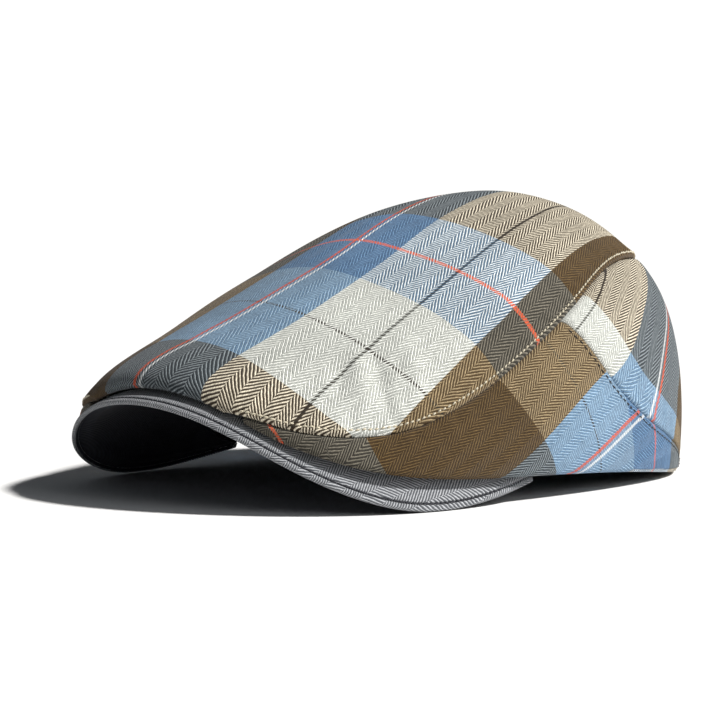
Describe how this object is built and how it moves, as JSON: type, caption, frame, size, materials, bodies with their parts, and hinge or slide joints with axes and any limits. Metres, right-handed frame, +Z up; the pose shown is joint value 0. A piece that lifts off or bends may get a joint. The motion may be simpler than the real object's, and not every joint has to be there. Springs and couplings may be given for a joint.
{
  "type": "newsboy cap",
  "caption": "Soft cloth cap with a sewn crown whose front slopes down onto a short curved brim, open below for the head, with a lining and sweatband inside.",
  "frame": {"origin": "centre of the bounding box's bottom face, on the surface the cap stands on", "axes": "+X to the wearer's left, +Y to the back of the cap, so the brim points along -Y, +Z up"},
  "size_m": [0.1964, 0.2662, 0.1163],
  "materials": {
    "plaid_cloth": "herringbone twill, matt",
    "brim_cloth": "herringbone twill, matt",
    "lining_satin": "satin weave, low sheen",
    "board_plastic": "matt",
    "sweatband_cotton": "plain weave, matt",
    "elastic": "covered elastic, matt",
    "cream_thread": "twisted thread",
    "dark_thread": "twisted thread",
    "label_satin": "woven tape, matt"
  },
  "bodies": {
    "cap": {"top_panel": "plaid_cloth", "left_side_panel": "plaid_cloth", "right_side_panel": "plaid_cloth", "back_panel": "plaid_cloth", "lining_middle": "lining_satin", "lining_left": "lining_satin", "lining_right": "lining_satin", "visor_top_cover": "brim_cloth", "visor_board": "board_plastic", "visor_under_cover": "brim_cloth", "sweatband": "sweatband_cotton", "sweatband_elastic": "elastic", "crown_topstitch": "cream_thread", "back_stitch_left": "dark_thread", "back_stitch_right": "dark_thread", "visor_edge_stitch": "dark_thread", "hem_stitch": "dark_thread", "brim_join_stitch": "dark_thread", "label_stitch": "cream_thread"},
    "label": {"care_label": "label_satin"}
  },
  "joints": [
    {"name": "label_swing", "type": "hinge", "parent": "cap", "child": "label", "pos_m": [0, 0.11914, 0.0265], "axis": [-1, 0, 0], "range_deg": [0, 120]}
  ]
}
